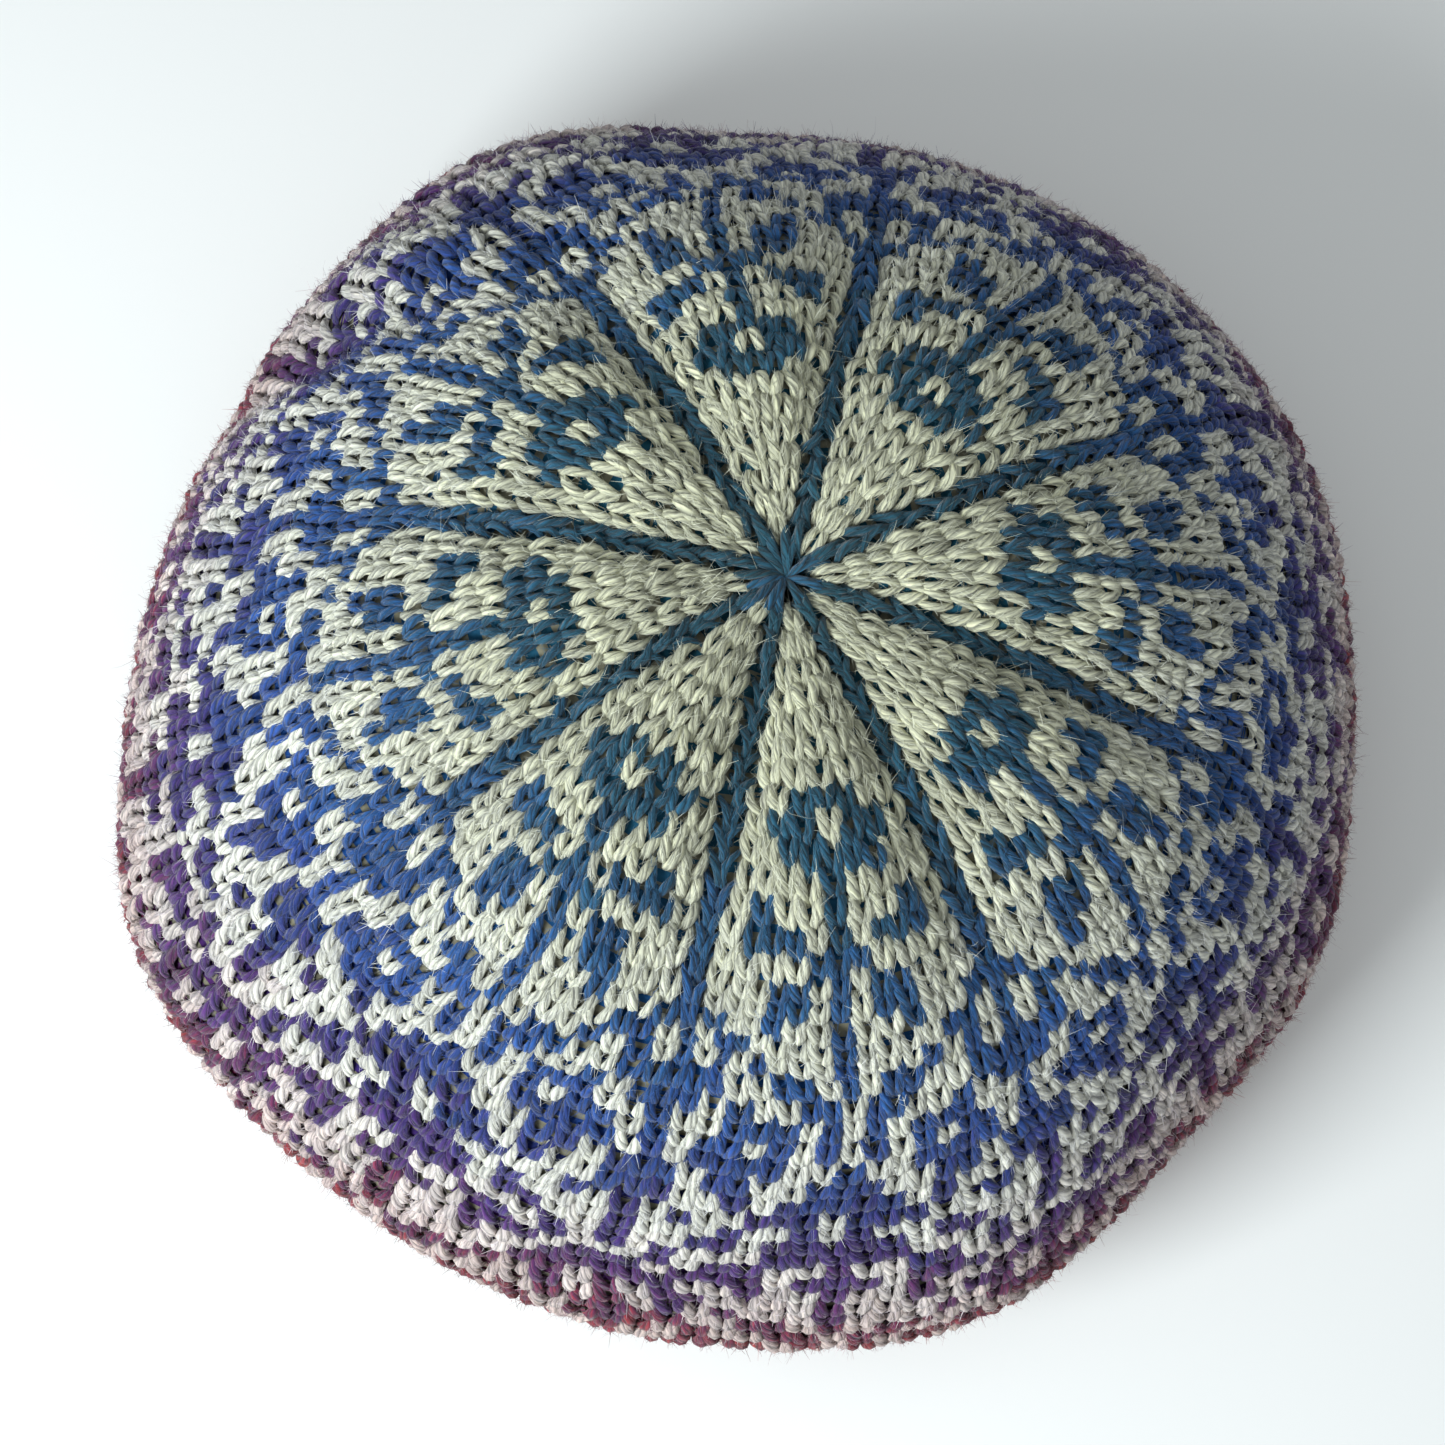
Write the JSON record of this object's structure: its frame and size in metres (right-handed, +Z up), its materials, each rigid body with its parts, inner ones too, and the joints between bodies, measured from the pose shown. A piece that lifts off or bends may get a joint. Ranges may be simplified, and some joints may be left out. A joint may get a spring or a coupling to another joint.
{
  "type": "fair isle knit hat",
  "caption": "Soft knitted tam with a wheel crown of puffed wedges between sunk spines, a wide overhanging rim and a ribbed edge it stands on.",
  "frame": {"origin": "middle of the hat's plan, on the surface its ribbed edge stands on", "axes": "+Z up through the crown, -Y toward the front of the hat as pictured, +X to its right"},
  "size_m": [0.227, 0.2298, 0.1205],
  "materials": {
    "patterned_knit": "matte wool, stranded knitting in cream and a graded yarn",
    "contrast_wool": "matte wool",
    "rib_wool": "matte wool, ribbed"
  },
  "bodies": {
    "root": {"crown_gather": "contrast_wool", "crown_wheel": "patterned_knit", "body": "patterned_knit", "rib_band": "rib_wool"}
  },
  "joints": []
}
